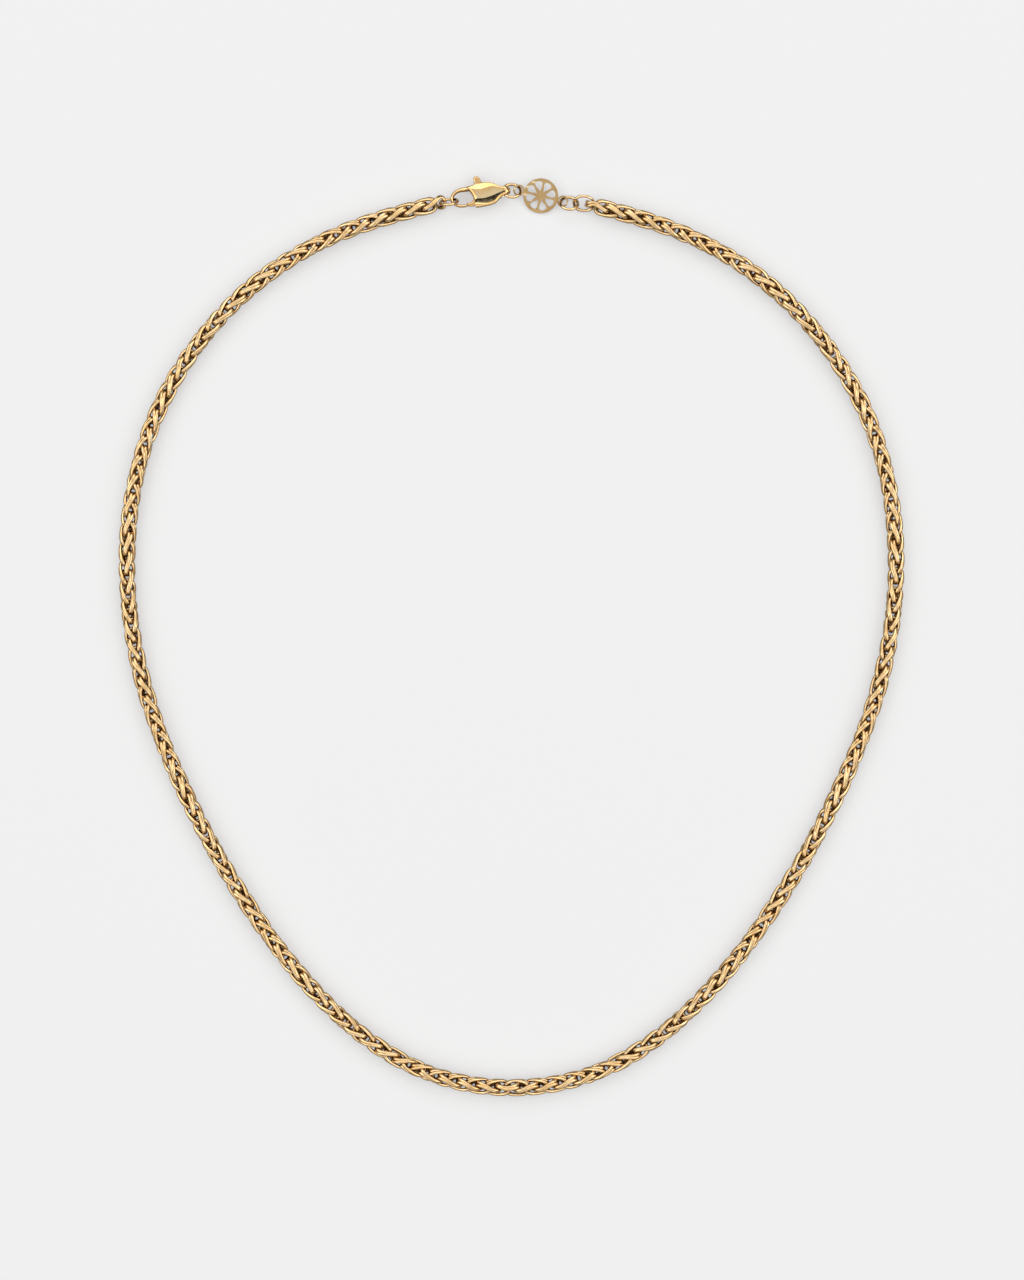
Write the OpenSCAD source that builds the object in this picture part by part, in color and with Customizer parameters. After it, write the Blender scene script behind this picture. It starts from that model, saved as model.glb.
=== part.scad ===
// Wheat chain necklace, closed by its lobster clasp and lying flat as one whole loop.
// X runs to the right, Y towards the clasp, Z up from the surface; sizes are in millimetres.
// The origin is on the surface, under the middle of the loop.

/* [Chain] */
// Outer width of the chain
chain_w = 3.66; // [3.4:0.02:3.8]
// Wire of the loop at each end of the chain
end_loop_wire = 0.8; // [0.7:0.05:0.9]
// Outer width of that loop
end_loop_w = 3.3; // [3.2:0.05:3.4]

/* [Rings] */
// Wire of every ring
ring_wire = 0.6; // [0.54:0.02:0.62]
// Outer diameter of the two round rings and of the ring in the hook
ring_d = 4.3; // [4.2:0.05:4.4]
// Length of the slightly long ring at the right end of the chain
long_ring_l = 4.8; // [4.7:0.05:4.9]

/* [Clasp] */
// Thickness of the clasp's body
clasp_t = 3.0; // [2.8:0.1:3.2]
// Thickness of the lever inside the body
lever_t = 1.0; // [0.8:0.05:1.05]
// Diameter of the rivet that the lever turns on
pin_d = 0.7; // [0.6:0.05:0.8]
// Running gap between the rivet and the lever, on the radius
pin_gap = 0.05; // [0.03:0.01:0.08]
// Height of the clasp's middle above the surface
clasp_z = 1.6; // [1.6:0.05:1.8]

/* [Tag] */
// Outer diameter of the tag
tag_d = 7.4; // [7.2:0.1:7.6]
// Thickness of the tag
tag_t = 0.45; // [0.4:0.05:0.5]
// Width of the rim outside the windows
tag_rim = 0.55; // [0.4:0.05:0.6]
// Diameter of the small boss in the middle
tag_boss_d = 1.7; // [1.3:0.1:1.8]
// Diameter of the hole in each lug
lug_hole_d = 1.7; // [1.65:0.05:1.75]

/* [Hidden] */
gold = [0.83, 0.64, 0.32];
pale_gold = [0.87, 0.71, 0.42];

// Right half of the chain's route, from its end at the closure down to the bottom of the loop
half_route = [
    [19, 91], [34, 87], [48, 80], [60, 70.5], [70, 58], [77, 44.5], [81, 29.5], [82, 14], [80.5, -1.5],
    [76.5, -16.5], [70.5, -31], [63.5, -45], [55.5, -58], [46.5, -70.5], [35.5, -82.2], [22.5, -91.4], [8, -96]
];
// The whole route: the left half is the mirror image of the right one
route = concat(half_route, [for (i = [len(half_route) - 1 : -1 : 0]) [-half_route[i][0], half_route[i][1]]]);
rings_per_span = 2;
chain_z = chain_w / 2;
// Reach of the end loops past the ends of the route, and their turn about the chain
right_loop_reach = 3.7;
left_loop_reach = 5.2;
end_loop_sink = 0.8;
right_loop_turn = 45;
left_loop_turn = 20;

// Rings: centre, direction in the loop and tilt about that direction
clasp_ring_at = [0.08, 94.57];
clasp_ring_dir = -5.4;
clasp_ring_tilt = -36;
tag_ring_at = [12.24, 91.9];
tag_ring_dir = -5.4;
tag_ring_tilt = -39.7;
right_ring_at = [15.35, 91.88];
right_ring_dir = -4;
right_ring_tilt = 42;
left_ring_at = [-13.31, 92.14];
left_ring_dir = 5.6;
left_ring_tilt = -65;

// Tag: centre, direction of its two lugs and tilt about that direction
tag_at = [6.2, 93.55];
tag_dir = -14;
tag_tilt = 13;
tag_z = tag_d / 2 * sin(tag_tilt) + tag_t / 2 + 0.02;
lug_reach = 4.8;
lug_wall = 0.36;
lug_neck_w = 1.3;
window_count = 8;
window_in = tag_boss_d / 2;
window_out = tag_d / 2 - tag_rim;
window_swell = 1.22;

// Clasp: its own axes start at the rivet, with +X towards the tail and +Y towards the thumb tab
clasp_at = [-6.94, 93.48];
clasp_dir = 8.8;
pivot = [0.3, 0.6];
slot_gap = 0.12;
slot_h = lever_t + 2 * slot_gap;
// Plan of the slot, then of the gate and the thumb arm that swing in it
slot_plan = [[-3, -3], [0.3, -3], [1.35, -1.2], [2.1, 0.6], [2.3, 3.2],
             [-0.62, 3.2], [-0.62, 1.3], [-1.0, 0.95], [-3, 0.95]];
gate_plan = [[-3.4, -1.1], [-1.9, -1.0], [-0.5, 0.3], [1.1, 0.3],
             [0.3, -1.7], [-0.9, -2.02], [-1.6, -2.0], [-2.6, -1.98]];
arm_plan = [[-0.45, 0.9], [-0.36, 3.0], [0.82, 3.0], [1.05, 0.9]];
lever_boss_r = 0.85;
tab_corners = [[-0.3, 3.0], [0.55, 3.0], [-0.3, 3.82], [0.3, 3.82]];
tab_round = 0.36;
pin_r = pin_d / 2;
seat_gap = 0.02;
// Plan of the body: centre, radius at the rim and radius of the flat top
body_discs = [[-0.9, 0.12, 2.2, 1.2], [0.9, 0.13, 2.55, 1.25], [2.4, 0.1, 2.28, 0.95], [4.7, 0.1, 0.85, 0.35]];
rim_half = 0.75;
// Arc that ends the body towards the hook
cheek_at = [-6, -1.5];
cheek_r = 5.04;
// Hook: an ellipse round its opening, thick at the root and thin at the tip
hook_at = [-3.4, 0.05];
hook_half = [2.35, 1.72];
hook_root = [-0.9, 1.85];
hook_from = 80;
hook_to = 300;
hook_step = 14.6;
hook_root_w = 1.25;
hook_tip_w = 0.75;
hook_h = 1.3;
// Slanted joint between the tip of the hook and the end of the gate
joint_at = [-2.55, -1.62];
joint_dir = 130;
joint_gap = 0.12;
// Eye in the tail, turned about the line across the clasp
eye_at = [5.55, 0.1];
eye_r = 1.32;
eye_neck_r = 0.72;
eye_mouth_r = 1.06;
eye_seat_r = 1.12;
eye_half_w = 0.72;
eye_neck_half_w = 0.12;
eye_round = 0.16;

// Point of a smooth curve that four route points draw towards themselves, at t from 0 to 1
function blend(a, b, c, d, t) =
    (a * pow(1 - t, 3) + b * (3 * pow(t, 3) - 6 * pow(t, 2) + 4)
        + c * (1 + 3 * t + 3 * pow(t, 2) - 3 * pow(t, 3)) + d * pow(t, 3)) / 6;

// Route point i, with one more past each end in line with the last two
function route_point(i) =
    i < 0 ? 2 * route[0] - route[1]
    : i >= len(route) ? 2 * route[len(route) - 1] - route[len(route) - 2]
    : route[i];

// The smooth middle line of the chain, with n steps between route points
function middle_line(n) = [for (i = [0 : n * (len(route) - 1)])
    let (k = min(floor(i / n), len(route) - 2))
    blend(route_point(k - 1), route_point(k), route_point(k + 1), route_point(k + 2), i / n - k)];

function unit(v) = v / norm(v);

// Direction of a path at its point i
function heading(p, i) = unit(p[min(i + 1, len(p) - 1)] - p[max(i - 1, 0)]);

// Angle of a direction in the XY plane
function angle(v) = atan2(v[1], v[0]);

// Bar along a flat path, with its own width at each point and one height
module swept_bar(path, widths, height, sides) {
    n = len(path);
    reach = 1 / cos(180 / sides);
    points = [for (i = [0 : n - 1]) for (k = [0 : sides - 1])
        let (t = heading(path, i), a = (k + 0.5) * 360 / sides)
        let (across = widths[i] / 2 * reach * cos(a))
        [path[i][0] - t[1] * across, path[i][1] + t[0] * across, height / 2 * reach * sin(a)]];
    walls = [for (i = [0 : n - 2]) for (k = [0 : sides - 1])
        let (m = (k + 1) % sides)
        [i * sides + k, (i + 1) * sides + k, (i + 1) * sides + m, i * sides + m]];
    near_end = [for (k = [0 : sides - 1]) k];
    far_end = [for (k = [sides - 1 : -1 : 0]) (n - 1) * sides + k];
    polyhedron(points, concat([near_end, far_end], walls), convexity = 8);
}

// Closed wire loop with round ends, its length along X
module wire_loop(length, width, wire) {
    straight = length - width;
    core_r = (width - wire) / 2;
    for (side = [-1, 1]) {
        translate([side * straight / 2, 0, 0])
            rotate([0, 0, -side * 90])
                rotate_extrude(angle = 180, $fn = 48)
                    translate([core_r, 0])
                        circle(d = wire, $fn = 24);
        if (straight > 0)
            translate([-straight / 2, side * core_r, 0])
                rotate([0, 90, 0])
                    cylinder(d = wire, h = straight, $fn = 24);
    }
}

// Round wire ring in the XY plane
module wire_ring(outer_d, wire) {
    rotate_extrude($fn = 64)
        translate([(outer_d - wire) / 2, 0])
            circle(d = wire, $fn = 24);
}

// Puts a child at a place of the loop, turned along it and tilted about that direction
module placed(at, z, dir, tilt) {
    translate([at[0], at[1], z])
        rotate([0, 0, dir])
            rotate([tilt, 0, 0])
                children();
}

// Height of a tilted ring's centre when the ring touches the surface
function ring_z(width, tilt) = (width - ring_wire) / 2 * abs(sin(tilt)) + ring_wire / 2 + 0.02;

// End loop of the chain, its inner end sunk into the chain
module end_loop(at, dir, turn, reach) {
    length = reach + end_loop_sink;
    placed(at, chain_z, dir, turn)
        translate([reach - length / 2, 0, 0])
            wire_loop(length, end_loop_w, end_loop_wire);
}

module wheat_chain() {
    path = middle_line(rings_per_span);
    last = len(route) - 1;
    color(gold) {
        translate([0, 0, chain_z])
            swept_bar(path, [for (p = path) chain_w], chain_w, 8);
        end_loop(route[0], angle(route[0] - route[1]), right_loop_turn, right_loop_reach);
        end_loop(route[last], angle(route[last] - route[last - 1]), left_loop_turn, left_loop_reach);
    }
}

module end_ring_left() {
    color(gold)
        placed(left_ring_at, ring_z(ring_d, left_ring_tilt), left_ring_dir, left_ring_tilt)
            wire_ring(ring_d, ring_wire);
}

module end_ring_right() {
    color(gold)
        placed(right_ring_at, ring_z(ring_d, right_ring_tilt), right_ring_dir, right_ring_tilt)
            wire_loop(long_ring_l, ring_d, ring_wire);
}

module clasp_ring() {
    color(gold)
        placed(clasp_ring_at, ring_z(ring_d, clasp_ring_tilt), clasp_ring_dir, clasp_ring_tilt)
            wire_ring(ring_d, ring_wire);
}

module tag_ring() {
    color(gold)
        placed(tag_ring_at, ring_z(ring_d, tag_ring_tilt), tag_ring_dir, tag_ring_tilt)
            wire_ring(ring_d, ring_wire);
}

// Puts a child of the clasp in the clasp's own axes
module in_clasp() {
    placed(clasp_at, clasp_z, clasp_dir, 0)
        children();
}

// Bevelled teardrop that the body is cut from
module body_blank() {
    hull()
        for (d = body_discs) {
            translate([d[0], d[1], -rim_half])
                cylinder(r = d[2], h = 2 * rim_half, $fn = 40);
            translate([d[0], d[1], -clasp_t / 2])
                cylinder(r = d[3], h = clasp_t, $fn = 40);
        }
}

// Room in the body for the lever and its swing
module lever_slot() {
    linear_extrude(slot_h, center = true)
        polygon(slot_plan);
}

// Hook from its root in the body round to its tip
module hook() {
    arc = [for (a = [hook_from : hook_step : hook_to])
        [hook_at[0] + hook_half[0] * cos(a), hook_at[1] + hook_half[1] * sin(a)]];
    path = concat([hook_root], arc);
    last = len(path) - 1;
    widths = [for (i = [0 : last]) hook_root_w + (hook_tip_w - hook_root_w) * i / last];
    difference() {
        swept_bar(path, widths, hook_h, 12);
        slant_cut(joint_gap / 2);
    }
}

// Everything past the slanted joint, on the gate's side
module slant_cut(gap) {
    translate([joint_at[0], joint_at[1], 0])
        rotate([0, 0, joint_dir - 90])
            translate([-gap, -2, -2])
                cube([4, 4, 4]);
}

// Round eye whose hole runs across the clasp and widens to both sides
module tail_eye() {
    translate([eye_at[0], eye_at[1], 0])
        rotate([90, 0, 0])
            rotate_extrude($fn = 48)
                polygon([[eye_neck_r, -eye_neck_half_w], [eye_neck_r, eye_neck_half_w],
                         [eye_mouth_r, eye_half_w],
                         [eye_r - eye_round, eye_half_w], [eye_r, eye_half_w - eye_round],
                         [eye_r, eye_round - eye_half_w], [eye_r - eye_round, -eye_half_w],
                         [eye_mouth_r, -eye_half_w]]);
}

module clasp_body() {
    color(gold)
        in_clasp() {
            difference() {
                body_blank();
                translate([cheek_at[0], cheek_at[1], -clasp_t])
                    cylinder(r = cheek_r, h = 2 * clasp_t, $fn = 96);
                lever_slot();
                translate([pivot[0], pivot[1], -clasp_t])
                    cylinder(r = pin_r + seat_gap, h = 2 * clasp_t, $fn = 48);
                translate([eye_at[0], eye_at[1], 0])
                    rotate([90, 0, 0])
                        cylinder(r = eye_seat_r, h = 2 * clasp_t, center = true, $fn = 48);
            }
            hook();
            tail_eye();
        }
}

module clasp_lever() {
    color(pale_gold)
        in_clasp() {
            difference() {
                linear_extrude(lever_t, center = true)
                    union() {
                        translate(pivot)
                            circle(r = lever_boss_r, $fn = 48);
                        polygon(arm_plan);
                        difference() {
                            polygon(gate_plan);
                            translate(joint_at)
                                rotate(joint_dir + 90)
                                    translate([-joint_gap / 2, -2])
                                        square([4, 4]);
                        }
                    }
                translate([pivot[0], pivot[1], -lever_t])
                    cylinder(r = pin_r + pin_gap, h = 2 * lever_t, $fn = 48);
            }
            thumb_tab();
        }
}

// Rounded thumb tab that stands out of the body
module thumb_tab() {
    hull()
        for (c = tab_corners)
            translate([c[0], c[1], 0])
                cylinder(r = tab_round, h = lever_t, center = true, $fn = 32);
}

module clasp_pin() {
    color(gold)
        in_clasp()
            translate([pivot[0], pivot[1], 0])
                cylinder(r = pin_r, h = clasp_t - 2 * seat_gap, center = true, $fn = 48);
}

// Outline of one teardrop window, its point towards the middle of the tag
function window_outline() =
    [for (a = [0 : 15 : 345])
        [(window_in + window_out) / 2 + (window_out - window_in) / 2 * cos(a),
         window_swell * sin(a) * pow(cos(a / 2), 2)]];

module tag() {
    color(gold)
        placed(tag_at, tag_z, tag_dir, tag_tilt)
            linear_extrude(tag_t, center = true)
                difference() {
                    union() {
                        circle(d = tag_d, $fn = 96);
                        for (side = [-1, 1])
                            translate([side * lug_reach, 0]) {
                                circle(d = lug_hole_d + 2 * lug_wall, $fn = 48);
                                translate([-side * lug_neck_w / 2, 0])
                                    square([lug_neck_w, lug_neck_w], center = true);
                            }
                    }
                    for (i = [0 : window_count - 1])
                        rotate((i + 0.5) * 360 / window_count)
                            polygon(window_outline());
                    for (side = [-1, 1])
                        translate([side * lug_reach, 0])
                            circle(d = lug_hole_d, $fn = 48);
                }
}

wheat_chain();
end_ring_left();
clasp_body();
clasp_lever();
clasp_pin();
clasp_ring();
tag();
tag_ring();
end_ring_right();
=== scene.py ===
import math
import bmesh
import bpy
import numpy as np
from mathutils import Matrix, Vector


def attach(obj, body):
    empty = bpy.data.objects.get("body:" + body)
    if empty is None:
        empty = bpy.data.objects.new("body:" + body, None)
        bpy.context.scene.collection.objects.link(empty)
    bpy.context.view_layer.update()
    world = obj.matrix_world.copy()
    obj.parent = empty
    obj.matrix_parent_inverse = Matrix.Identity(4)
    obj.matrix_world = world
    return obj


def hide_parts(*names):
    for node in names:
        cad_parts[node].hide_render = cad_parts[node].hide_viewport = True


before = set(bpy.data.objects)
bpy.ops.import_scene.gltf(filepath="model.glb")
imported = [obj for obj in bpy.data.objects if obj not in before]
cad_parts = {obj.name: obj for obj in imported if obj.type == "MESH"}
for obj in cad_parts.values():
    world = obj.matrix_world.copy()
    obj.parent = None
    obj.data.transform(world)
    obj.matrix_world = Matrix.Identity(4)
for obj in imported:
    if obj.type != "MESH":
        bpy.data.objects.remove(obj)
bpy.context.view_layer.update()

MM = 0.001
NECKLACE = "necklace"
LEVER = "lever"

# Photograph: the height of the whole picture, its scale, and the point of the surface in its middle
PHOTO_H = 1280
MM_PER_PIXEL = 0.2122
CAMERA_AT = (0.0001, -0.0008)
CAMERA_LENS = 100.0
SENSOR = 36.0

# Height of the lowest point of a tilted ring or tag above the surface, in mm
SURFACE_GAP = 0.02
# Angles in degrees past which an edge stays sharp: on the cast body, and on wire and sheet
CAST_SHARP = 18
PLAIN_SHARP = 50
WELD_DISTANCE = 0.0005

# Chain: points that draw the route of its right half, as in the CAD source, in metres
HALF_ROUTE = [
    (0.019, 0.091), (0.034, 0.087), (0.048, 0.080), (0.060, 0.0705), (0.070, 0.058), (0.077, 0.0445),
    (0.081, 0.0295), (0.082, 0.014), (0.0805, -0.0015), (0.0765, -0.0165), (0.0705, -0.031),
    (0.0635, -0.045), (0.0555, -0.058), (0.0465, -0.0705), (0.0355, -0.0822), (0.0225, -0.0914),
    (0.008, -0.096),
]
SAMPLES_PER_SPAN = 40
CHAIN_Z = 1.83 * MM

# Chain's loops: size of the wire's middle line, wire, and how square the oval's sides and ends are
LOOP_HALF_L = 2.5 * MM
LOOP_HALF_W = 1.44 * MM
LOOP_WIRE = 0.74 * MM
END_LOOP_WIRE = 0.60 * MM
SIDE_SQUARENESS = 0.64
END_SQUARENESS = 0.60
LOOP_TWIST = 0.68
LOOP_POINTS = 40
WIRE_SIDES = 10
# The two loops of a pair: half the distance between them where they are pressed together and where they part
PAIR_TOGETHER = 0.12 * MM
PAIR_APART = 0.37 * MM
PART_POWER = 1.5
# Stations of the pairs along the route, and the meshes that the chain is shared out to
STATION_STEP = 2.06 * MM
FIRST_STATION = -0.75 * MM
PAST_LAST_STATION = 2.50 * MM
RUNS = 4
# Turn of the woven pattern about the chain's middle line: distance from the end in mm, degrees
PATTERN_TURN = [
    (0, 88), (5, 92), (38, 180), (68, 270), (100, 360), (130, 450),
    (155, 540), (183, 630), (202, 720), (229, 810), (236, 855), (243, 888), (256, 900),
]
# Turns that lay the outer ends of the first and last pair across the end rings, and the share of
# the half loop that keeps the common twist
FIRST_PAIR_TURN = 20
LAST_PAIR_TURN = -60
END_TURN_FROM = 0.1

# Rings of the closure, as in the CAD source: node, place in mm, direction, tilt, length, angle of the cut
RING_WIRE = 0.6 * MM
RING_D = 4.3 * MM
LONG_RING_L = 4.8 * MM
RING_CUT = 0.03 * MM
RING_POINTS = 73
RING_SIDES = 16
RINGS = [
    ("end_ring_left", (-13.31, 92.14), 5.6, -65, RING_D, 250),
    ("clasp_ring", (0.08, 94.57), -5.4, -36, RING_D, 250),
    ("tag_ring", (12.24, 91.9), -5.4, -39.7, RING_D, 70),
    ("end_ring_right", (15.35, 91.88), -4, 42, LONG_RING_L, 265),
]

# Clasp: its own axes start near the rivet, +X towards the tail, +Y towards the thumb tab, in mm
CLASP_AT = (-6.94, 93.48)
CLASP_DIR = 8.8
CLASP_Z = 1.6


# Route of the chain


def smooth_step(t):
    """Eases a share of 0 to 1 in and out."""
    return t * t * (3 - 2 * t)


def route_curve():
    """Fine points of the smooth curve that the route points draw towards themselves."""
    half = np.array(HALF_ROUTE)
    route = np.vstack([half, (half * (-1, 1))[::-1]])
    points = np.vstack([2 * route[0] - route[1], route, 2 * route[-1] - route[-2]])
    t = np.linspace(0, 1, SAMPLES_PER_SPAN, endpoint=False)[:, None]
    second = 3 * t**3 - 6 * t**2 + 4
    third = 1 + 3 * t + 3 * t**2 - 3 * t**3
    spans = [
        (a * (1 - t) ** 3 + b * second + c * third + d * t**3) / 6
        for a, b, c, d in zip(points, points[1:], points[2:], points[3:])
    ]
    return np.vstack(spans + [route[-1:]])


class Route:
    """The chain's middle line, read by the distance along it from its right end."""

    def __init__(self):
        self.points = route_curve()
        steps = np.linalg.norm(np.diff(self.points, axis=0), axis=1)
        self.along = np.concatenate([[0], np.cumsum(steps)])
        self.length = self.along[-1]
        self.heading = np.unwrap(np.arctan2(*np.gradient(self.points, axis=0).T[::-1]))

    def place(self, across, up, along):
        """World points of a chain's points: across and up in its section, and along it."""
        inside = np.clip(along, 0, self.length)
        over = along - inside
        angle = np.interp(inside, self.along, self.heading)
        forward = np.stack([np.cos(angle), np.sin(angle)], 1)
        left = np.stack([-forward[:, 1], forward[:, 0]], 1)
        middle = np.stack([np.interp(inside, self.along, self.points[:, i]) for i in (0, 1)], 1)
        flat = middle + over[:, None] * forward + across[:, None] * left
        return np.column_stack([flat, up + CHAIN_Z])


def pattern_turn(along, length):
    """Turn of the weave at a distance along the chain, mirrored between its two halves."""
    at = np.array([a for a, _ in PATTERN_TURN]) * MM
    turn = np.radians([t for _, t in PATTERN_TURN])
    return np.interp(np.minimum(along, length - along), at, turn)


# Making of pieces


def loose_mesh(name, vertices, faces):
    """A mesh object that rides on nothing yet."""
    mesh = bpy.data.meshes.new(name)
    mesh.from_pydata([tuple(v) for v in vertices], [], faces)
    mesh.validate()
    thing = bpy.data.objects.new(name, mesh)
    bpy.context.scene.collection.objects.link(thing)
    return thing


def finish_piece(piece, material, body, nodes):
    """Gives a piece its metal, and names what it rides on and the CAD nodes it replaces."""
    piece.data.materials.clear()
    piece.data.materials.append(material)
    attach(piece, body)
    if nodes:
        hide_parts(*nodes)


def ring_faces(rings, sides, closed):
    """Faces between rings of points: the last ring meets the first, or both ends are capped."""
    i, k = np.meshgrid(np.arange(rings if closed else rings - 1), np.arange(sides), indexing="ij")
    j, m = (i + 1) % rings, (k + 1) % sides
    faces = np.stack([i * sides + k, j * sides + k, j * sides + m, i * sides + m], -1).reshape(-1, 4).tolist()
    if not closed:
        faces.append(list(range(sides))[::-1])
        faces.append([(rings - 1) * sides + n for n in range(sides)])
    return faces


def tube(core, radius, sides, closed=True, flat=1.0):
    """Wire about core points, flat times as wide as it is high: vertices and faces."""
    if closed:
        ahead = np.roll(core, -1, 0) - np.roll(core, 1, 0)
    else:
        ahead = np.gradient(core, axis=0)
    ahead /= np.linalg.norm(ahead, axis=1)[:, None]
    out = core - core.mean(0)
    out -= ahead * (out * ahead).sum(1)[:, None]
    out /= np.linalg.norm(out, axis=1)[:, None]
    side = np.cross(ahead, out)
    turn = (np.arange(sides) * 2 * math.pi / sides)[None, :, None]
    vertices = core[:, None] + radius * (np.cos(turn) * out[:, None] + flat * np.sin(turn) * side[:, None])
    return vertices.reshape(-1, 3), ring_faces(len(core), sides, closed)


def face_out(thing):
    """Turns a closed mesh's faces outwards."""
    work = bmesh.new()
    work.from_mesh(thing.data)
    bmesh.ops.recalc_face_normals(work, faces=work.faces)
    work.to_mesh(thing.data)
    work.free()
    return thing


def lofted(name, rings):
    """A solid through rings of points, capped at both ends."""
    faces = ring_faces(len(rings), len(rings[0]), closed=False)
    return face_out(loose_mesh(name, np.reshape(rings, (-1, 3)), faces))


def prism(name, plan, half_height):
    """Upright prism on a flat plan given anticlockwise."""
    n = len(plan)
    vertices = [(x, y, -half_height) for x, y in plan] + [(x, y, half_height) for x, y in plan]
    faces = [list(range(n))[::-1], [n + i for i in range(n)]]
    faces += [[i, (i + 1) % n, n + (i + 1) % n, n + i] for i in range(n)]
    return loose_mesh(name, vertices, faces)


def circle(centre, radius, sides):
    """Corners of a round outline."""
    turns = [2 * math.pi * i / sides for i in range(sides)]
    return [(centre[0] + radius * math.cos(turn), centre[1] + radius * math.sin(turn)) for turn in turns]


def rounded(outline, times):
    """Cuts the corners of a closed outline again and again."""
    points = np.array(outline, float)
    for _ in range(times):
        ahead = np.roll(points, -1, 0)
        points = np.stack([0.8 * points + 0.2 * ahead, 0.2 * points + 0.8 * ahead], 1).reshape(-1, 2)
    return points


def smooth_rows(rows, steps):
    """Rows of a table with smooth in-between rows added."""
    rows = np.array(rows, float)
    padded = np.vstack([2 * rows[0] - rows[1], rows, 2 * rows[-1] - rows[-2]])
    t = np.linspace(0, 1, steps, endpoint=False)[:, None]
    spans = [
        b + (c - a) * t / 2 + (a - 2.5 * b + 2 * c - d / 2) * t**2 + (1.5 * (b - c) + (d - a) / 2) * t**3
        for a, b, c, d in zip(padded, padded[1:], padded[2:], padded[3:])
    ]
    return np.vstack(spans + [rows[-1:]])


def settle(thing):
    """Makes the result of a thing's modifiers its own mesh."""
    bpy.context.view_layer.update()
    seen = thing.evaluated_get(bpy.context.evaluated_depsgraph_get())
    mesh = bpy.data.meshes.new_from_object(seen)
    thing.modifiers.clear()
    thing.data = mesh


def combine(target, tool, operation):
    """Adds or takes a tool mesh to or from the target, and deletes the tool."""
    change = target.modifiers.new(operation, "BOOLEAN")
    change.operation = operation
    change.object = tool
    change.solver = "MANIFOLD"
    settle(target)
    bpy.data.objects.remove(tool)


def soften(thing, width, angle):
    """Rounds the edges of a cast piece a little."""
    edge = thing.modifiers.new("rounded edges", "BEVEL")
    edge.width = width
    edge.segments = 3
    edge.limit_method = "ANGLE"
    edge.angle_limit = math.radians(angle)
    settle(thing)


def shade_by_area(thing, sharp):
    """Smooth shading that keeps the large faces flat, with edges past the angle sharp."""
    thing.data.shade_smooth()
    thing.data.set_sharp_from_angle(angle=math.radians(sharp))
    shading = thing.modifiers.new("flat faces", "WEIGHTED_NORMAL")
    shading.keep_sharp = True
    shading.weight = 100
    settle(thing)


def sheet_piece(name, outlines, half_thickness, edge):
    """A flat piece with rounded edges from closed outlines: the first is the rim, the rest are holes."""
    curve = bpy.data.curves.new(name, "CURVE")
    curve.dimensions = "2D"
    curve.fill_mode = "BOTH"
    curve.extrude = half_thickness - edge
    curve.bevel_depth = edge
    curve.bevel_resolution = 3
    curve.offset = -edge
    for outline in outlines:
        corners = np.column_stack([outline, np.zeros(len(outline)), np.ones(len(outline))])
        spline = curve.splines.new("POLY")
        spline.points.add(len(outline) - 1)
        spline.points.foreach_set("co", corners.ravel())
        spline.use_cyclic_u = True
    thing = bpy.data.objects.new(name, curve)
    bpy.context.scene.collection.objects.link(thing)
    bpy.context.view_layer.update()
    mesh = bpy.data.meshes.new_from_object(thing)
    bpy.data.objects.remove(thing)
    piece = bpy.data.objects.new(name, mesh)
    bpy.context.scene.collection.objects.link(piece)
    join = piece.modifiers.new("weld", "WELD")
    join.merge_threshold = WELD_DISTANCE
    settle(piece)
    return face_out(piece)


# Finishes

# Plating on drawn wire, on cast metal and on satin sheet: as it is, where it is deep, and where it is rubbed
# bright, which is also a painted highlight on convex parts
WIRE_GOLD = (0.92, 0.655, 0.35)
DEEP_WIRE_GOLD = (0.81, 0.53, 0.24)
PALE_WIRE_GOLD = (0.99, 0.82, 0.54)
CAST_GOLD = (0.90, 0.585, 0.26)
DEEP_CAST_GOLD = (0.79, 0.475, 0.18)
PALE_CAST_GOLD = (0.97, 0.76, 0.44)
SATIN_GOLD = (0.58, 0.39, 0.18)
DEEP_SATIN_GOLD = (0.495, 0.31, 0.13)
# Painted shade: the dark brown laid into recesses between wires and under parts
PAINTED_SHADE = (0.15, 0.055, 0.006)
RECESS_REACH = 2.0 * MM
# Share of open sky where the painted shade starts and where it is full
RECESS_FROM = 0.70
RECESS_FULL = 0.15
# Noise where the plating starts to deepen and where it is deepest
CLOUD_LOW = 0.38
CLOUD_HIGH = 0.66
# Noise where the polish starts to haze over and where the haze is full
SCRATCH_LOW = 0.15
SCRATCH_HIGH = 0.40
HAZE_SCALE = 900.0
BUMP_STRENGTH = 0.3


def new_group(name, inputs, outputs):
    """A shader node group with named sockets, and its input and output nodes."""
    group = bpy.data.node_groups.new(name, "ShaderNodeTree")
    for socket, kind, value in inputs:
        made = group.interface.new_socket(name=socket, in_out="INPUT", socket_type=kind)
        if value is not None:
            made.default_value = value
    for socket, kind in outputs:
        group.interface.new_socket(name=socket, in_out="OUTPUT", socket_type=kind)
    return group, group.nodes.new("NodeGroupInput"), group.nodes.new("NodeGroupOutput")


def feed(tree, source, socket):
    """Sets a socket to a number, or links another socket to it."""
    if isinstance(source, (int, float)):
        socket.default_value = source
    else:
        tree.links.new(source, socket)


def noise(tree, vector, scale, detail=3.0, roughness=0.55):
    """Soft cloud pattern as a value."""
    node = tree.nodes.new("ShaderNodeTexNoise")
    sockets = ("Vector", "Scale", "Detail", "Roughness")
    for socket, source in zip(sockets, (vector, scale, detail, roughness)):
        feed(tree, source, node.inputs[socket])
    return node.outputs["Fac"]


def spread(tree, value, low, high, to_low, to_high):
    """Maps low..high of a value to to_low..to_high; the ends may be sockets."""
    node = tree.nodes.new("ShaderNodeMapRange")
    sockets = ("Value", "From Min", "From Max", "To Min", "To Max")
    for socket, source in zip(sockets, (value, low, high, to_low, to_high)):
        feed(tree, source, node.inputs[socket])
    return node.outputs["Result"]


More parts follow.
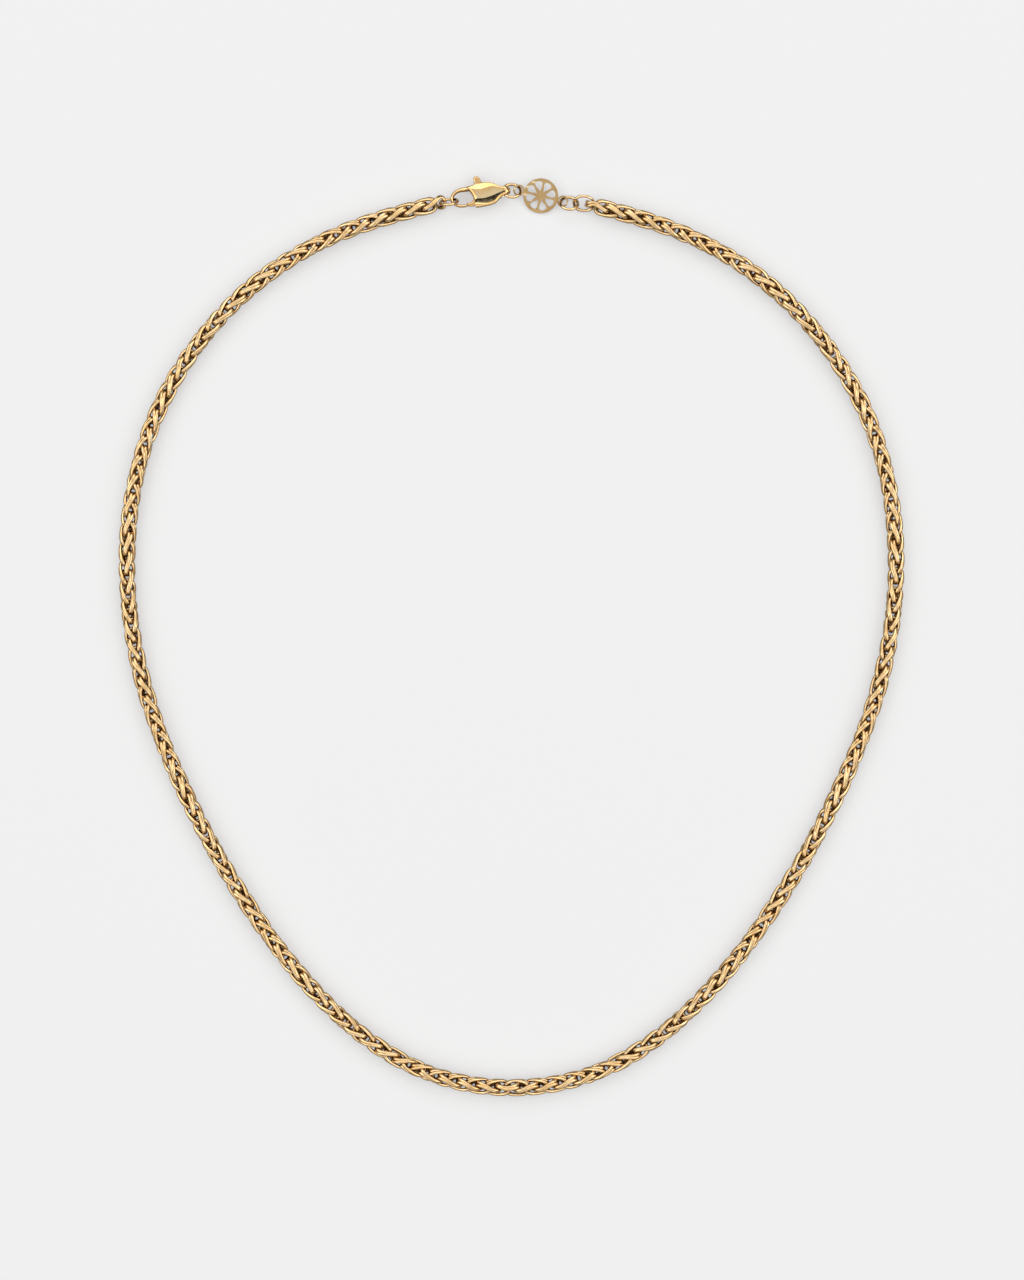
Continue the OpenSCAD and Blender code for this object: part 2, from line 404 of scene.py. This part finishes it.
def combined(tree, operation, kind, first, second):
    """One maths step on two values or two vectors."""
    node = tree.nodes.new(kind)
    node.operation = operation
    tree.links.new(first, node.inputs[0])
    tree.links.new(second, node.inputs[1])
    return node.outputs[0]


def blend_colour(tree, factor, first, second):
    """First colour where the factor is 0, second colour where it is 1."""
    node = tree.nodes.new("ShaderNodeMix")
    node.data_type = "RGBA"
    # Inputs 6 and 7 and output 2 are its colours
    for socket, source in zip(("Factor", 6, 7), (factor, first, second)):
        tree.links.new(source, node.inputs[socket])
    return node.outputs[2]


def plating_tone_group():
    """Gold plating that is a little deeper in some places than in others."""
    tree, given, out = new_group(
        "plating_tone",
        [("Vector", "NodeSocketVector", None), ("Plating", "NodeSocketColor", (0.9, 0.6, 0.25, 1)),
         ("Deep Plating", "NodeSocketColor", (0.7, 0.4, 0.12, 1)), ("Cloud Scale", "NodeSocketFloat", 300.0)],
        [("Color", "NodeSocketColor")],
    )
    cloud = noise(tree, given.outputs["Vector"], given.outputs["Cloud Scale"])
    deep = spread(tree, cloud, CLOUD_LOW, CLOUD_HIGH, 0.0, 1.0)
    tone = blend_colour(tree, deep, given.outputs["Plating"], given.outputs["Deep Plating"])
    tree.links.new(tone, out.inputs["Color"])
    return tree


def edge_rub_and_highlight_group():
    """Edges that handling has rubbed bright, together with a painted highlight that turns convex parts paler:
    a mask from how convex the surface is.
    """
    tree, given, out = new_group(
        "edge_rub_and_highlight",
        [("Color", "NodeSocketColor", (0.9, 0.6, 0.25, 1)),
         ("Rubbed Color", "NodeSocketColor", (1, 0.8, 0.5, 1)),
         ("Start", "NodeSocketFloat", 0.52), ("End", "NodeSocketFloat", 0.62)],
        [("Color", "NodeSocketColor"), ("Rub And Highlight", "NodeSocketFloat")],
    )
    shape = tree.nodes.new("ShaderNodeNewGeometry")
    # Painted highlight and rubbed edges: convex parts get the paler gold
    rub_and_highlight = spread(tree, shape.outputs["Pointiness"], given.outputs["Start"], given.outputs["End"], 0.0, 1.0)
    colour = blend_colour(tree, rub_and_highlight, given.outputs["Color"], given.outputs["Rubbed Color"])
    tree.links.new(colour, out.inputs["Color"])
    tree.links.new(rub_and_highlight, out.inputs["Rub And Highlight"])
    return tree


def painted_recess_shade_group():
    """Painted shade, a dark brown that gathers where other metal or the surface is close."""
    tree, given, out = new_group(
        "painted_recess_shade",
        [("Color", "NodeSocketColor", (0.9, 0.6, 0.25, 1)),
         ("Tarnish", "NodeSocketColor", (0.2, 0.1, 0.03, 1)),
         ("Reach", "NodeSocketFloat", 0.001), ("Amount", "NodeSocketFloat", 0.8)],
        [("Color", "NodeSocketColor"), ("Recess", "NodeSocketFloat")],
    )
    near = tree.nodes.new("ShaderNodeAmbientOcclusion")
    near.samples = 8
    tree.links.new(given.outputs["Reach"], near.inputs["Distance"])
    # Painted shade where ambient occlusion finds other metal or the surface close by
    recess = spread(tree, near.outputs["AO"], RECESS_FROM, RECESS_FULL, 0.0, given.outputs["Amount"])
    colour = blend_colour(tree, recess, given.outputs["Color"], given.outputs["Tarnish"])
    tree.links.new(colour, out.inputs["Color"])
    tree.links.new(recess, out.inputs["Recess"])
    return tree


def hairline_group():
    """Fine scratches and the soft haze between them, as a roughness and a height."""
    tree, given, out = new_group(
        "hairlines",
        [("Vector", "NodeSocketVector", None), ("Polish", "NodeSocketFloat", 0.1),
         ("Haze", "NodeSocketFloat", 0.25), ("Line Scale", "NodeSocketFloat", 3000.0),
         ("Stretch", "NodeSocketVector", (1, 1, 1))],
        [("Roughness", "NodeSocketFloat"), ("Height", "NodeSocketFloat")],
    )
    vector, stretch = given.outputs["Vector"], given.outputs["Stretch"]
    stretched = combined(tree, "MULTIPLY", "ShaderNodeVectorMath", vector, stretch)
    lines = noise(tree, stretched, given.outputs["Line Scale"], detail=5.0, roughness=0.7)
    haze = noise(tree, vector, HAZE_SCALE, detail=2.0)
    mixed = combined(tree, "MULTIPLY", "ShaderNodeMath", lines, haze)
    worn = spread(tree, mixed, SCRATCH_LOW, SCRATCH_HIGH, given.outputs["Polish"], given.outputs["Haze"])
    tree.links.new(worn, out.inputs["Roughness"])
    tree.links.new(lines, out.inputs["Height"])
    return tree


def gold(name, plating, deep, rubbed_and_highlight, polish, haze, painted_shade,
         stretch=(1, 1, 1), line_scale=3000.0, relief=0.02):
    """Gold-plated metal.

    polish and haze are its smoothest and its roughest roughness, the argument after haze is the strength of
    the painted shade laid into its recesses, and relief is the depth of its scratches in mm."""
    material = bpy.data.materials.new(name)
    material.use_nodes = True
    tree = material.node_tree
    shader = tree.nodes["Principled BSDF"]
    shader.inputs["Metallic"].default_value = 1.0
    where = tree.nodes.new("ShaderNodeTexCoord").outputs["Object"]

    def placed_group(group, **values):
        node = tree.nodes.new("ShaderNodeGroup")
        node.node_tree = group
        for socket, value in values.items():
            node.inputs[socket.replace("_", " ")].default_value = value
        if "Vector" in node.inputs:
            tree.links.new(where, node.inputs["Vector"])
        return node

    tone = placed_group(PLATING_TONE, Plating=(*plating, 1), Deep_Plating=(*deep, 1))
    # Rubbed edges and painted highlight: paler gold on convex parts
    edges = placed_group(EDGE_RUB_AND_HIGHLIGHT, Rubbed_Color=(*rubbed_and_highlight, 1))
    # Painted shade in recesses, darker where other metal is close
    recess = placed_group(PAINTED_RECESS_SHADE, Tarnish=(*PAINTED_SHADE, 1), Reach=RECESS_REACH, Amount=painted_shade)
    lines = placed_group(HAIRLINES, Polish=polish, Haze=haze, Line_Scale=line_scale, Stretch=stretch)
    bump = tree.nodes.new("ShaderNodeBump")
    bump.inputs["Strength"].default_value = BUMP_STRENGTH
    bump.inputs["Distance"].default_value = relief * MM
    tree.links.new(tone.outputs["Color"], edges.inputs["Color"])
    tree.links.new(edges.outputs["Color"], recess.inputs["Color"])
    tree.links.new(recess.outputs["Color"], shader.inputs["Base Color"])
    tree.links.new(lines.outputs["Roughness"], shader.inputs["Roughness"])
    tree.links.new(lines.outputs["Height"], bump.inputs["Height"])
    tree.links.new(bump.outputs["Normal"], shader.inputs["Normal"])
    return material


PLATING_TONE = plating_tone_group()
EDGE_RUB_AND_HIGHLIGHT = edge_rub_and_highlight_group()
PAINTED_RECESS_SHADE = painted_recess_shade_group()
HAIRLINES = hairline_group()
# The last number of each metal is how much painted shade its recesses get
link_gold = gold("polished link gold", WIRE_GOLD, DEEP_WIRE_GOLD, PALE_WIRE_GOLD,
                 polish=0.17, haze=0.30, painted_shade=1.0)
ring_gold = gold("polished ring gold", WIRE_GOLD, DEEP_WIRE_GOLD, PALE_WIRE_GOLD,
                 polish=0.09, haze=0.20, painted_shade=0.7)
clasp_gold = gold("cast clasp gold", CAST_GOLD, DEEP_CAST_GOLD, PALE_CAST_GOLD,
                  polish=0.14, haze=0.28, painted_shade=0.7, relief=0.008)
tag_gold = gold("satin tag gold", SATIN_GOLD, DEEP_SATIN_GOLD, PALE_WIRE_GOLD,
                polish=0.30, haze=0.45, painted_shade=0.3, stretch=(0.12, 1.0, 1.0), line_scale=4500.0)


# Chain


def add_wire(name, vertices, faces, material, nodes, sharp=None):
    """Makes a piece of wire that rides on the necklace, smooth but for edges past the angle sharp."""
    piece = loose_mesh(name, vertices, faces)
    piece.data.shade_smooth()
    if sharp:
        piece.data.set_sharp_from_angle(angle=math.radians(sharp))
    finish_piece(piece, material, NECKLACE, nodes)


def loop_core(side, odd, lean, seam, end_turn):
    """Middle of one twisted oval loop's wire: across, up and along its station.

    side is +1 or -1 for the two loops of a pair, which lie against each other at one end and
    part towards the other, the one nearer the closure; lean is +1 where that is the start.
    Pairs at odd stations stand a quarter turn round from the even ones and twist the other way.
    The chain's two halves twist as mirror images, and the two pairs at the seam between them turn
    back on themselves, so that they stay clear of the pairs of both halves.
    The outer end of the chain's first and last pair has a turn of its own, across the end ring."""
    t = np.linspace(0, 2 * math.pi, LOOP_POINTS, endpoint=False)
    c, s = np.cos(t), np.sin(t)
    u = LOOP_HALF_W * np.sign(c) * np.abs(c) ** SIDE_SQUARENESS
    w = LOOP_HALF_L * np.sign(s) * np.abs(s) ** END_SQUARENESS
    x = w / LOOP_HALF_L
    sense = -1 if odd else 1
    turn = sense * LOOP_TWIST * (-x * x if seam else lean * x)
    if end_turn is not None:
        share = smooth_step(np.clip((-END_TURN_FROM - lean * x) / (1 - END_TURN_FROM), 0, 1))
        turn = turn * (1 - share) + math.radians(end_turn) * share
    v = side * (PAIR_TOGETHER + (PAIR_APART - PAIR_TOGETHER) * ((1 - lean * x) / 2) ** PART_POWER)
    across = u * np.cos(turn) - v * np.sin(turn)
    up = u * np.sin(turn) + v * np.cos(turn)
    if odd:
        across, up = -up, across
    return across, up, w


def chain_runs(route):
    """The whole chain as a few meshes, each a run of linked loops."""
    last_station = route.length + PAST_LAST_STATION
    count = 2 * round((last_station - FIRST_STATION) / STATION_STEP / 2) + 1
    stations = np.linspace(FIRST_STATION, last_station, count)
    for run, members in enumerate(np.array_split(np.arange(count), RUNS)):
        vertices, faces, base = [], [], 0
        for k in members:
            wire = END_LOOP_WIRE if k in (0, count - 1) else LOOP_WIRE
            lean = 1 if k < count / 2 else -1
            seam = k in (count // 2 - 1, count // 2)
            end_turn = {0: FIRST_PAIR_TURN, count - 1: LAST_PAIR_TURN}.get(k)
            for side in (1, -1):
                core = np.stack(loop_core(side, k % 2, lean, seam, end_turn), 1)
                rings, quads = tube(core, wire / 2, WIRE_SIDES)
                along = rings[:, 2] + stations[k]
                turn = pattern_turn(along, route.length)
                across = rings[:, 0] * np.cos(turn) - rings[:, 1] * np.sin(turn)
                up = rings[:, 0] * np.sin(turn) + rings[:, 1] * np.cos(turn)
                vertices.append(route.place(across, up, along))
                faces += [[n + base for n in quad] for quad in quads]
                base += len(rings)
        nodes = ("wheat_chain",) if run == 0 else ()
        add_wire(f"wheat_links_{run + 1}", np.vstack(vertices), faces, link_gold, nodes)


# Rings


def ring_core(length, width, cut_at):
    """Middle of a ring's wire in its own plane, open at a thin cut at the angle cut_at."""
    radius = (width - RING_WIRE) / 2
    straight = (length - width) / 2
    gap = RING_CUT / radius / 2
    turn = math.radians(cut_at) + np.linspace(gap, 2 * math.pi - gap, RING_POINTS)
    x = radius * np.cos(turn) + straight * np.clip(3 * np.cos(turn), -1, 1)
    return np.stack([x, radius * np.sin(turn), np.zeros_like(turn)], 1)


def add_rings():
    """The closure's four rings, each tilted about its length and just clear of the surface."""
    for node, at, direction, tilt, length, cut_at in RINGS:
        vertices, faces = tube(ring_core(length, RING_D, cut_at), RING_WIRE / 2, RING_SIDES, closed=False)
        turn = Matrix.Rotation(math.radians(direction), 4, "Z") @ Matrix.Rotation(math.radians(tilt), 4, "X")
        rise = (RING_D - RING_WIRE) / 2 * abs(math.sin(math.radians(tilt)))
        place = Matrix.Translation((at[0] * MM, at[1] * MM, rise + RING_WIRE / 2 + SURFACE_GAP * MM)) @ turn
        placed = [place @ Vector(v) for v in vertices]
        add_wire(f"{node}_wire", placed, faces, ring_gold, (node,), sharp=PLAIN_SHARP)


# Clasp

# Clasp's body in its own axes, a row for each section from the hook's side to the tail: place along
# the clasp, then across it the back outline, the back and the front edge of the flat face, the foot
# of the hollow bevel in front of it and the front outline
BODY_SECTIONS = [
    (-2.6, 2.00, 1.80, -0.45, -1.30, -2.25),
    (-1.6, 2.15, 1.66, -0.55, -1.38, -2.32),
    (-0.7, 2.43, 1.38, -0.63, -1.45, -2.38),
    (0.2, 2.61, 1.25, -0.74, -1.62, -2.40),
    (1.0, 2.64, 1.25, -0.80, -1.78, -2.38),
    (1.8, 2.56, 1.37, -0.71, -1.82, -2.36),
    (2.6, 2.40, 1.45, -0.57, -1.72, -2.26),
    (3.3, 2.12, 1.40, -0.39, -1.46, -2.03),
    (3.8, 1.82, 1.27, -0.26, -1.08, -1.66),
    (4.4, 1.42, 1.07, -0.10, -0.66, -1.18),
    (5.0, 1.16, 0.84, 0.03, -0.40, -0.90),
    (5.75, 1.06, 0.66, 0.12, -0.16, -0.68),
]
SECTION_STEPS = 6
# Height of the flat faces over the middle plane, and how steeply the bevels fall away from them
FACE_Z = 1.5
BACK_SLOPE = 0.44
BEVEL_SLOPE = 0.92
# Rounded edge from the back outline up to the back bevel: way in, and drop below the bevel's outer edge
BACK_EDGE = [(0.0, 0.20), (0.05, 0.08)]
BACK_EDGE_W = 0.14
# Rows across the back bevel, close to its ends so that it stays flat between them
BACK_ROWS = (0, 0.1, 0.98, 1)
# Rounded rim between the foot of the bevel and the front outline: share of the way, height above the foot
FRONT_RIM = [(0.0, 0.0), (0.16, 0.07), (0.34, 0.11), (0.56, 0.10), (0.78, 0.03), (0.93, -0.06), (1.0, -0.14)]
FRONT_RIM_STEPS = 2
CAST_EDGE_R = 0.05
CAST_EDGE_ANGLE = 70
# Round cut that hollows the side of the body towards the hook
CHEEK_AT = (-6.0, -1.5)
CHEEK_R = 5.04
CHEEK_SIDES = 128
# Flare of the hook's side of the body towards its faces: extra radius and height
CHEEK_FLARE = [(0.0, 1.12), (0.05, 1.24), (0.16, 1.36), (0.32, 1.45), (0.50, 1.51), (0.50, 3.0)]
# Slot that the lever moves in
SLOT_HALF = 0.60
SLOT_PLAN = [
    (-3, -2.12), (0.2, -2.12), (1.35, -1.2), (2.1, 0.6), (2.3, 3.2),
    (-0.62, 3.2), (-0.62, 1.3), (-1.0, 0.95), (-3, 0.95),
]
# Hook: an oval arc from HOOK_FROM to HOOK_TO degrees, with a straight root that runs into the body
HOOK_AT = (-3.4, 0.05)
HOOK_HALF = (2.35, 1.72)
HOOK_ROOT = (-0.9, 1.85)
HOOK_FROM = 80
HOOK_TO = 302
HOOK_ROOT_W = 1.2
HOOK_TIP_W = 0.62
HOOK_ROOT_H = 2.9
HOOK_TIP_H = 1.3
# How fast the hook narrows and flattens from its root on
HOOK_W_POWER = 3
HOOK_H_POWER = 4
HOOK_ARC_POINTS = 44
HOOK_ROOT_POINTS = 8
HOOK_SIDES = 20
# Slanted joint between the tip of the hook and the end of the gate
JOINT_AT = (-2.92, -1.55)
JOINT_DIR = 133
JOINT_HALF_GAP = 0.04
JOINT_CUT_L = 2
JOINT_CUT_HALF_W = 1.2
# Tail eye, the seat that is cut out for it, and the rivet
EYE_AT = (5.5, 0.2)
EYE_R = 1.02
EYE_HALF_WIRE = 0.29
EYE_HALF_W = 0.76
EYE_SIDES = 16
SEAT_R = 1.08
ROUND_SIDES = 48
RIVET = (0.3, 0.6)
RIVET_HOLE_R = 0.40
# Outline of the lever in the clasp's axes, from the left of the thumb tab and clockwise
LEVER_OUTLINE = [
    (-0.66, 3.0), (-0.64, 3.84), (-0.32, 4.17), (0.32, 4.17), (0.66, 3.84), (0.92, 3.1), (0.95, 2.0),
    (1.13, 1.0), (1.14, 0.4), (0.8, -0.5), (0.3, -1.7), (-0.9, -2.02), (-1.6, -2.0), (-2.40, -1.98),
    (-2.98, -1.38), (-2.58, -1.07), (-1.95, -1.26), (-1.42, -0.85), (-1.1, -0.35), (-0.5, 0.3),
    (-0.55, 0.8), (-0.42, 1.4), (-0.38, 2.6),
]
LEVER_CORNER_CUTS = 3
LEVER_HALF_T = 0.5
LEVER_EDGE = 0.26


def in_clasp():
    """Matrix from the clasp's own axes, in millimetres, to the scene."""
    turn = Matrix.Rotation(math.radians(CLASP_DIR), 4, "Z")
    return Matrix.Scale(MM, 4) @ Matrix.Translation((*CLASP_AT, CLASP_Z)) @ turn


def flared_cutter():
    """Round cutter for the hook's side of the body, wider towards its two ends."""
    profile = [(extra, -z) for extra, z in CHEEK_FLARE[::-1]] + CHEEK_FLARE
    return lofted("cheek_cutter", [
        [(*point, z) for point in circle(CHEEK_AT, CHEEK_R + extra, CHEEK_SIDES)] for extra, z in profile
    ])


def body_section(back, crease, edge, foot, front):
    """Upper half of one section of the clasp's body, from its back to its front: across and up."""
    foot_z = FACE_Z - BEVEL_SLOPE * (edge - foot)
    top = back - BACK_EDGE_W
    top_z = FACE_Z - BACK_SLOPE * (top - crease)
    corner = [(back - inward, top_z - drop) for inward, drop in BACK_EDGE]
    bevel = [(top + (crease - top) * share, top_z + (FACE_Z - top_z) * share) for share in BACK_ROWS]
    rim_rows = smooth_rows(FRONT_RIM, FRONT_RIM_STEPS)
    rim = [(foot + (front - foot) * share, foot_z + rise) for share, rise in rim_rows]
    return corner + bevel + [(edge, FACE_Z)] + rim


def body_blank():
    """The clasp's body before it is cut, lofted through its sections; both its faces are alike."""
    rings = []
    for along, *across in smooth_rows(BODY_SECTIONS, SECTION_STEPS):
        upper = body_section(*across)
        rings.append([(along, v, z) for v, z in upper + [(v, -z) for v, z in upper[::-1]]])
    return lofted("clasp_body_blank", rings)


def hook():
    """Hook from its root in the body round to its tip, an oval bar that grows thinner."""
    turn = np.radians(np.linspace(HOOK_FROM, HOOK_TO, HOOK_ARC_POINTS))
    arc = np.stack([HOOK_AT[0] + HOOK_HALF[0] * np.cos(turn), HOOK_AT[1] + HOOK_HALF[1] * np.sin(turn)], 1)
    root = np.linspace(HOOK_ROOT, arc[0], HOOK_ROOT_POINTS, endpoint=False)
    core = np.vstack([root, arc])
    left = 1 - np.linspace(0, 1, len(core))
    width = HOOK_TIP_W + (HOOK_ROOT_W - HOOK_TIP_W) * left**HOOK_W_POWER
    height = HOOK_TIP_H + (HOOK_ROOT_H - HOOK_TIP_H) * left**HOOK_H_POWER
    ahead = np.gradient(core, axis=0)
    ahead /= np.linalg.norm(ahead, axis=1)[:, None]
    side = np.stack([-ahead[:, 1], ahead[:, 0]], 1)
    around = np.arange(HOOK_SIDES) * 2 * math.pi / HOOK_SIDES
    flat = core[:, None] + (width / 2)[:, None, None] * np.cos(around)[None, :, None] * side[:, None]
    up = (height / 2)[:, None] * np.sin(around)
    bar = lofted("clasp_hook", np.concatenate([flat, up[:, :, None]], 2))
    near, far, half = -JOINT_HALF_GAP, JOINT_CUT_L, JOINT_CUT_HALF_W
    past_joint = prism("joint_cutter", [(near, -half), (far, -half), (far, half), (near, half)], 2)
    slant = Matrix.Rotation(math.radians(JOINT_DIR - 90), 4, "Z")
    past_joint.data.transform(Matrix.Translation((*JOINT_AT, 0)) @ slant)
    combine(bar, past_joint, "DIFFERENCE")
    return bar


def tail_eye():
    """Rounded eye whose hole runs across the clasp."""
    turn = np.linspace(0, 2 * math.pi, ROUND_SIDES, endpoint=False)
    x = EYE_AT[0] + EYE_R * np.cos(turn)
    core = np.stack([x, np.full_like(turn, EYE_AT[1]), EYE_R * np.sin(turn)], 1)
    vertices, faces = tube(core, EYE_HALF_WIRE, EYE_SIDES, flat=EYE_HALF_W / EYE_HALF_WIRE)
    return face_out(loose_mesh("clasp_eye", vertices, faces))


def add_clasp_body():
    """Cast body: blank, hollowed for the hook's side, the lever and the ring, then hook and eye."""
    body = body_blank()
    combine(body, flared_cutter(), "DIFFERENCE")
    combine(body, prism("slot_cutter", SLOT_PLAN, SLOT_HALF), "DIFFERENCE")
    seat = prism("seat_cutter", circle((0, 0), SEAT_R, ROUND_SIDES), 3)
    seat.data.transform(Matrix.Translation((*EYE_AT, 0)) @ Matrix.Rotation(math.radians(90), 4, "X"))
    combine(body, seat, "DIFFERENCE")
    soften(body, CAST_EDGE_R, CAST_EDGE_ANGLE)
    combine(body, hook(), "UNION")
    combine(body, tail_eye(), "UNION")
    body.name = "lobster_clasp_body"
    body.data.transform(in_clasp())
    shade_by_area(body, CAST_SHARP)
    finish_piece(body, clasp_gold, NECKLACE, ("clasp_body",))


def add_lever():
    """Sprung gate with its thumb tab, one flat piece that turns on the rivet."""
    outlines = [rounded(LEVER_OUTLINE, LEVER_CORNER_CUTS), circle(RIVET, RIVET_HOLE_R, ROUND_SIDES)]
    lever = sheet_piece("spring_lever", outlines, LEVER_HALF_T, LEVER_EDGE)
    lever.data.transform(in_clasp())
    shade_by_area(lever, PLAIN_SHARP)
    finish_piece(lever, clasp_gold, LEVER, ("clasp_lever",))


# Tag

# Tag: place in mm, direction and tilt, then the sizes of the disc, its lugs and its windows
TAG_AT = (6.2, 93.55)
TAG_DIR = -14
TAG_TILT = 13
TAG_D = 7.4
TAG_T = 0.45
TAG_RIM = 0.55
TAG_BOSS_D = 1.7
TAG_EDGE = 0.07
LUG_REACH = 4.8
LUG_HOLE_D = 1.7
LUG_WALL = 0.36
LUG_NECK_HALF = 0.65
LUG_POINTS = 36
DISC_POINTS = 60
HOLE_POINTS = 40
WINDOW_COUNT = 8
WINDOW_SWELL = 1.22


def tag_outline():
    """Outer outline of the disc with its two lugs."""
    lug_r = LUG_HOLE_D / 2 + LUG_WALL
    disc_r = TAG_D / 2
    neck_at_disc = math.asin(LUG_NECK_HALF / disc_r)
    neck_at_lug = math.asin(LUG_NECK_HALF / lug_r)
    half = []
    for a in np.linspace(-(math.pi - neck_at_lug), math.pi - neck_at_lug, LUG_POINTS):
        half.append((LUG_REACH + lug_r * math.cos(a), lug_r * math.sin(a)))
    for a in np.linspace(neck_at_disc, math.pi - neck_at_disc, DISC_POINTS):
        half.append((disc_r * math.cos(a), disc_r * math.sin(a)))
    return half + [(-x, -y) for x, y in half]


def window(turn):
    """One teardrop window, its point towards the middle."""
    inner, outer = TAG_BOSS_D / 2, TAG_D / 2 - TAG_RIM
    a = np.linspace(0, 2 * math.pi, HOLE_POINTS, endpoint=False)
    x = (inner + outer) / 2 + (outer - inner) / 2 * np.cos(a)
    y = WINDOW_SWELL * np.sin(a) * np.cos(a / 2) ** 2
    return np.stack([x * math.cos(turn) - y * math.sin(turn), x * math.sin(turn) + y * math.cos(turn)], 1)


def add_tag():
    """Pierced disc with a daisy of windows and a lug at each side, tilted on its two rings."""
    outlines = [tag_outline()]
    outlines += [window((i + 0.5) * 2 * math.pi / WINDOW_COUNT) for i in range(WINDOW_COUNT)]
    outlines += [circle((side * LUG_REACH, 0), LUG_HOLE_D / 2, HOLE_POINTS) for side in (-1, 1)]
    tag = sheet_piece("pierced_tag", outlines, TAG_T / 2, TAG_EDGE)
    height = TAG_D / 2 * math.sin(math.radians(TAG_TILT)) + TAG_T / 2 + SURFACE_GAP
    place = Matrix.Translation((*TAG_AT, height)) @ Matrix.Rotation(math.radians(TAG_DIR), 4, "Z")
    place @= Matrix.Rotation(math.radians(TAG_TILT), 4, "X")
    tag.data.transform(Matrix.Scale(MM, 4) @ place)
    shade_by_area(tag, PLAIN_SHARP)
    finish_piece(tag, tag_gold, NECKLACE, ("tag",))


# Stage: surface, light and camera

# The surface is a light table: part of the brightness it shows is its own, which keeps the shadows faint
FLOOR_TONE = 0.40
FLOOR_GLOW = 0.43
FLOOR_ROUGHNESS = 0.6
FLOOR_SHEEN = 0.2
FLOOR_HALF = 8.0
# Studio's brightness by the height that a ray points to: dark near the horizon, a bright ring, which
# is full at RING_AT, and a softer top, which the ring fades into from FADE_FROM on
STUDIO_LOW = 0.012
STUDIO_RING = 1.55
STUDIO_TOP = 0.66
LOW_UP_TO = 0.36
RING_AT = 0.62
FADE_FROM = 0.60
# Softboxes turned to the middle of the necklace: place, size and watts
SOFTBOXES = [
    ("back softbox", (0, 1.5, 1.24), (2.2, 1.1), 7.0),
    ("left softbox", (-1.6, 0.1, 1.2), (0.7, 1.8), 5.2),
    ("right softbox", (1.6, 0.1, 1.2), (0.7, 1.8), 5.2),
]


def add_floor():
    """Pale surface that shines a little towards the camera only."""
    corners = [(x * FLOOR_HALF, y * FLOOR_HALF, 0) for x, y in ((-1, -1), (1, -1), (1, 1), (-1, 1))]
    floor = loose_mesh("floor", corners, [(0, 1, 2, 3)])
    material = bpy.data.materials.new("pale floor")
    material.use_nodes = True
    tree = material.node_tree
    shader = tree.nodes["Principled BSDF"]
    shader.inputs["Base Color"].default_value = (FLOOR_TONE, FLOOR_TONE, FLOOR_TONE, 1)
    shader.inputs["Emission Color"].default_value = (1, 1, 1, 1)
    seen = tree.nodes.new("ShaderNodeLightPath").outputs["Is Camera Ray"]
    tree.links.new(spread(tree, seen, 0.0, 1.0, 0.0, FLOOR_GLOW), shader.inputs["Emission Strength"])
    shader.inputs["Roughness"].default_value = FLOOR_ROUGHNESS
    shader.inputs["Specular IOR Level"].default_value = FLOOR_SHEEN
    floor.data.materials.append(material)


def add_softbox(name, place, size, watts):
    """Rectangular lamp that faces the middle of the necklace."""
    lamp = bpy.data.lights.new(name, "AREA")
    lamp.shape = "RECTANGLE"
    lamp.size, lamp.size_y = size
    lamp.energy = watts
    thing = bpy.data.objects.new(name, lamp)
    thing.location = place
    thing.rotation_euler = (-Vector(place)).to_track_quat("-Z", "Y").to_euler()
    bpy.context.scene.collection.objects.link(thing)


def add_studio():
    """A studio that is dark near the horizon, and softboxes behind and at both sides."""
    world = bpy.data.worlds.new("studio")
    bpy.context.scene.world = world
    world.use_nodes = True
    tree = world.node_tree
    sky = tree.nodes["Background"]
    sky.inputs["Color"].default_value = (1, 1, 1, 1)
    where = tree.nodes.new("ShaderNodeTexCoord")
    parts = tree.nodes.new("ShaderNodeSeparateXYZ")
    tree.links.new(where.outputs["Generated"], parts.inputs["Vector"])
    above = spread(tree, parts.outputs["Z"], FADE_FROM, 1.0, STUDIO_RING, STUDIO_TOP)
    brightness = spread(tree, parts.outputs["Z"], LOW_UP_TO, RING_AT, STUDIO_LOW, above)
    tree.links.new(brightness, sky.inputs["Strength"])
    for softbox in SOFTBOXES:
        add_softbox(*softbox)


def add_camera():
    """Camera straight above the surface that takes in the height of the photograph."""
    camera = bpy.data.cameras.new("camera")
    camera.lens = CAMERA_LENS
    camera.sensor_fit = "VERTICAL"
    camera.sensor_height = SENSOR
    camera.clip_start = 0.01
    thing = bpy.data.objects.new("camera", camera)
    reach = PHOTO_H * MM_PER_PIXEL * MM * CAMERA_LENS / SENSOR
    thing.location = (*CAMERA_AT, reach + CHAIN_Z)
    bpy.context.scene.collection.objects.link(thing)
    bpy.context.scene.camera = thing


bpy.context.scene.view_settings.view_transform = "Standard"
add_camera()
add_floor()
add_studio()
chain_runs(Route())
add_rings()
add_clasp_body()
add_lever()
add_tag()
# The rivet keeps its CAD shape
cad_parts["clasp_pin"].data.materials.clear()
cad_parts["clasp_pin"].data.materials.append(clasp_gold)
